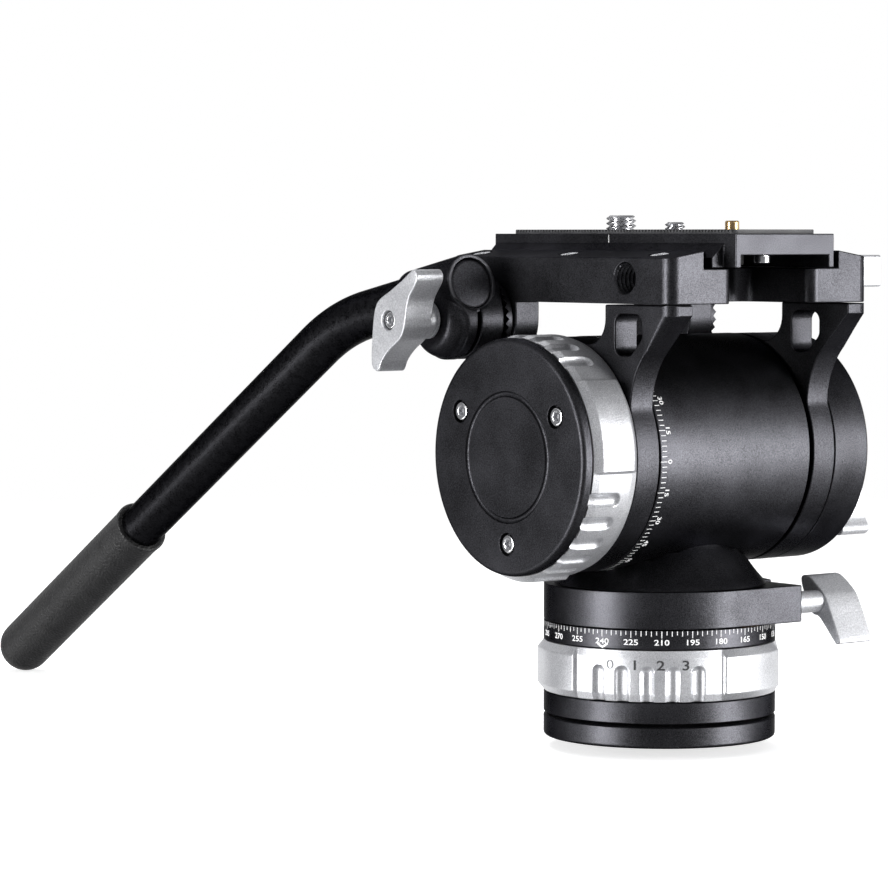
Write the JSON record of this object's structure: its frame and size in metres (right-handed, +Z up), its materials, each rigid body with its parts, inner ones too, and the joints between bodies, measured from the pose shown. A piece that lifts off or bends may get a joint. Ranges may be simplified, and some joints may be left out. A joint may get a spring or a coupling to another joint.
{
  "type": "fluid video head",
  "caption": "Fluid drag video head with pan base, horizontal tilt cylinder, silver drag rings, quick release platform and rubber-gripped pan handle.",
  "frame": {"origin": "centre of the base's underside, on the pan axis, where the head sits on its tripod", "axes": "+X along the tilt axis away from the drag knob, +Y to the rear where the handle points, +Z up along the pan axis"},
  "size_m": [0.1549, 0.3578, 0.1669],
  "materials": {
    "black_anodised": "fine satin black",
    "silver_anodised": "satin silver, anodised",
    "silver_cast": "blasted cast silver",
    "steel": "bright turned steel",
    "dark_steel": "dark oiled steel",
    "brass": "turned brass",
    "bronze": "sintered bronze",
    "damper_plastic": "off-white moulded plastic",
    "rubber": "fine pebbled black rubber"
  },
  "bodies": {
    "base": {"base_plate": "black_anodised", "tripod_bushing": "brass", "base_body": "black_anodised", "pan_scale_ring": "black_anodised", "pan_spindle": "dark_steel", "pan_spindle_nut": "dark_steel", "pan_damper_stator": "damper_plastic"},
    "pan_ring": {"pan_drag_ring": "silver_anodised"},
    "pan_unit": {"pan_housing": "black_anodised", "pan_bearing": "bronze", "pan_damper_rotor": "dark_steel", "pan_brake_pad": "bronze", "tilt_shaft": "dark_steel", "counterbalance_spring": "dark_steel", "tilt_damper_stator": "damper_plastic", "tilt_brake_disc": "bronze"},
    "pan_lever": {"pan_lock_lever": "silver_cast", "pan_lock_stud": "steel"},
    "tilt_unit": {"arm_left": "black_anodised", "arm_right": "black_anodised", "tilt_bearing_left": "bronze", "tilt_bearing_right": "bronze", "tilt_damper_rotor": "dark_steel", "tilt_drag_hub": "black_anodised", "tilt_knob_cover": "black_anodised", "cover_screw_1": "steel", "cover_screw_2": "steel", "cover_screw_3": "steel", "end_flange": "black_anodised", "platform": "black_anodised", "rosette_left": "black_anodised", "rosette_right": "black_anodised", "fixed_gib": "dark_steel", "rail_screw_left_1": "steel", "rail_screw_left_2": "steel", "rail_screw_left_3": "steel", "rail_screw_right_1": "steel", "rail_screw_right_2": "steel", "rail_screw_right_3": "steel"},
    "tilt_ring": {"tilt_drag_ring": "silver_anodised"},
    "tilt_lever": {"tilt_lock_lever": "silver_cast", "tilt_lock_stud": "steel"},
    "clamp_handle": {"clamp_lever": "silver_cast"},
    "jaw": {"clamp_jaw": "dark_steel", "clamp_stud": "steel"},
    "plate": {"qr_plate": "black_anodised", "plate_pad": "rubber", "plate_stop_screw": "steel", "pin_spring": "steel"},
    "large_screw": {"large_camera_screw": "steel"},
    "small_screw": {"small_camera_screw": "steel"},
    "pin": {"video_pin": "brass"},
    "handle": {"handle_clamp": "black_anodised", "handle_tube": "black_anodised", "tube_end_cap": "black_anodised", "handle_grip": "rubber"},
    "handle_wing": {"handle_lever": "silver_cast", "handle_lever_screw": "steel", "handle_stud": "steel"}
  },
  "joints": [
    {"name": "pan", "type": "hinge", "parent": "base", "child": "pan_unit", "pos_m": [0, 0, 0.042], "axis": [0, 0, 1], "continuous": true},
    {"name": "pan_drag", "type": "hinge", "parent": "base", "child": "pan_ring", "pos_m": [0, 0, 0.022], "axis": [0, 0, 1], "range_deg": [-42, 0]},
    {"name": "pan_lock", "type": "hinge", "parent": "pan_unit", "child": "pan_lever", "pos_m": [0.04, -0.0304, 0.042], "axis": [1, 0, 0], "range_deg": [-30, 60]},
    {"name": "tilt", "type": "hinge", "parent": "pan_unit", "child": "tilt_unit", "pos_m": [0, 0, 0.08967], "axis": [1, 0, 0], "range_deg": [-75, 80]},
    {"name": "tilt_drag", "type": "hinge", "parent": "tilt_unit", "child": "tilt_ring", "pos_m": [-0.05, 0, 0.08967], "axis": [1, 0, 0], "range_deg": [-42, 0]},
    {"name": "tilt_lock", "type": "hinge", "parent": "tilt_unit", "child": "tilt_lever", "pos_m": [0.066, -0.007, 0.07497], "axis": [1, 0, 0], "range_deg": [-60, 60]},
    {"name": "clamp_turn", "type": "hinge", "parent": "tilt_unit", "child": "clamp_handle", "pos_m": [0.05, -0.0318, 0.146], "axis": [1, 0, 0], "range_deg": [0, 90]},
    {"name": "jaw_slide", "type": "slide", "parent": "tilt_unit", "child": "jaw", "axis": [1, 0, 0], "range_m": [0, 0.0009]},
    {"name": "plate_slide", "type": "slide", "parent": "tilt_unit", "child": "plate", "axis": [0, 1, 0], "range_m": [-0.02, 0.02]},
    {"name": "large_screw_turn", "type": "hinge", "parent": "plate", "child": "large_screw", "pos_m": [0, 0.019, 0.155], "axis": [0, 0, 1], "continuous": true},
    {"name": "small_screw_turn", "type": "hinge", "parent": "plate", "child": "small_screw", "pos_m": [0, -0.0068, 0.155], "axis": [0, 0, 1], "continuous": true},
    {"name": "pin_press", "type": "slide", "parent": "plate", "child": "pin", "axis": [0, 0, 1], "range_m": [-0.003, 0], "stiffness_N_per_m": 200, "deforming": ["pin_spring"]},
    {"name": "handle_hinge", "type": "hinge", "parent": "tilt_unit", "child": "handle", "pos_m": [-0.055, 0.0355, 0.131], "axis": [1, 0, 0], "range_deg": [-55, 60]},
    {"name": "handle_lock", "type": "hinge", "parent": "handle", "child": "handle_wing", "pos_m": [-0.072, 0.0355, 0.131], "axis": [1, 0, 0], "range_deg": [-90, 90]}
  ],
  "couplings": [
    {"joint": "jaw_slide", "follows": "clamp_turn", "m_per_rad": 0.00057}
  ]
}
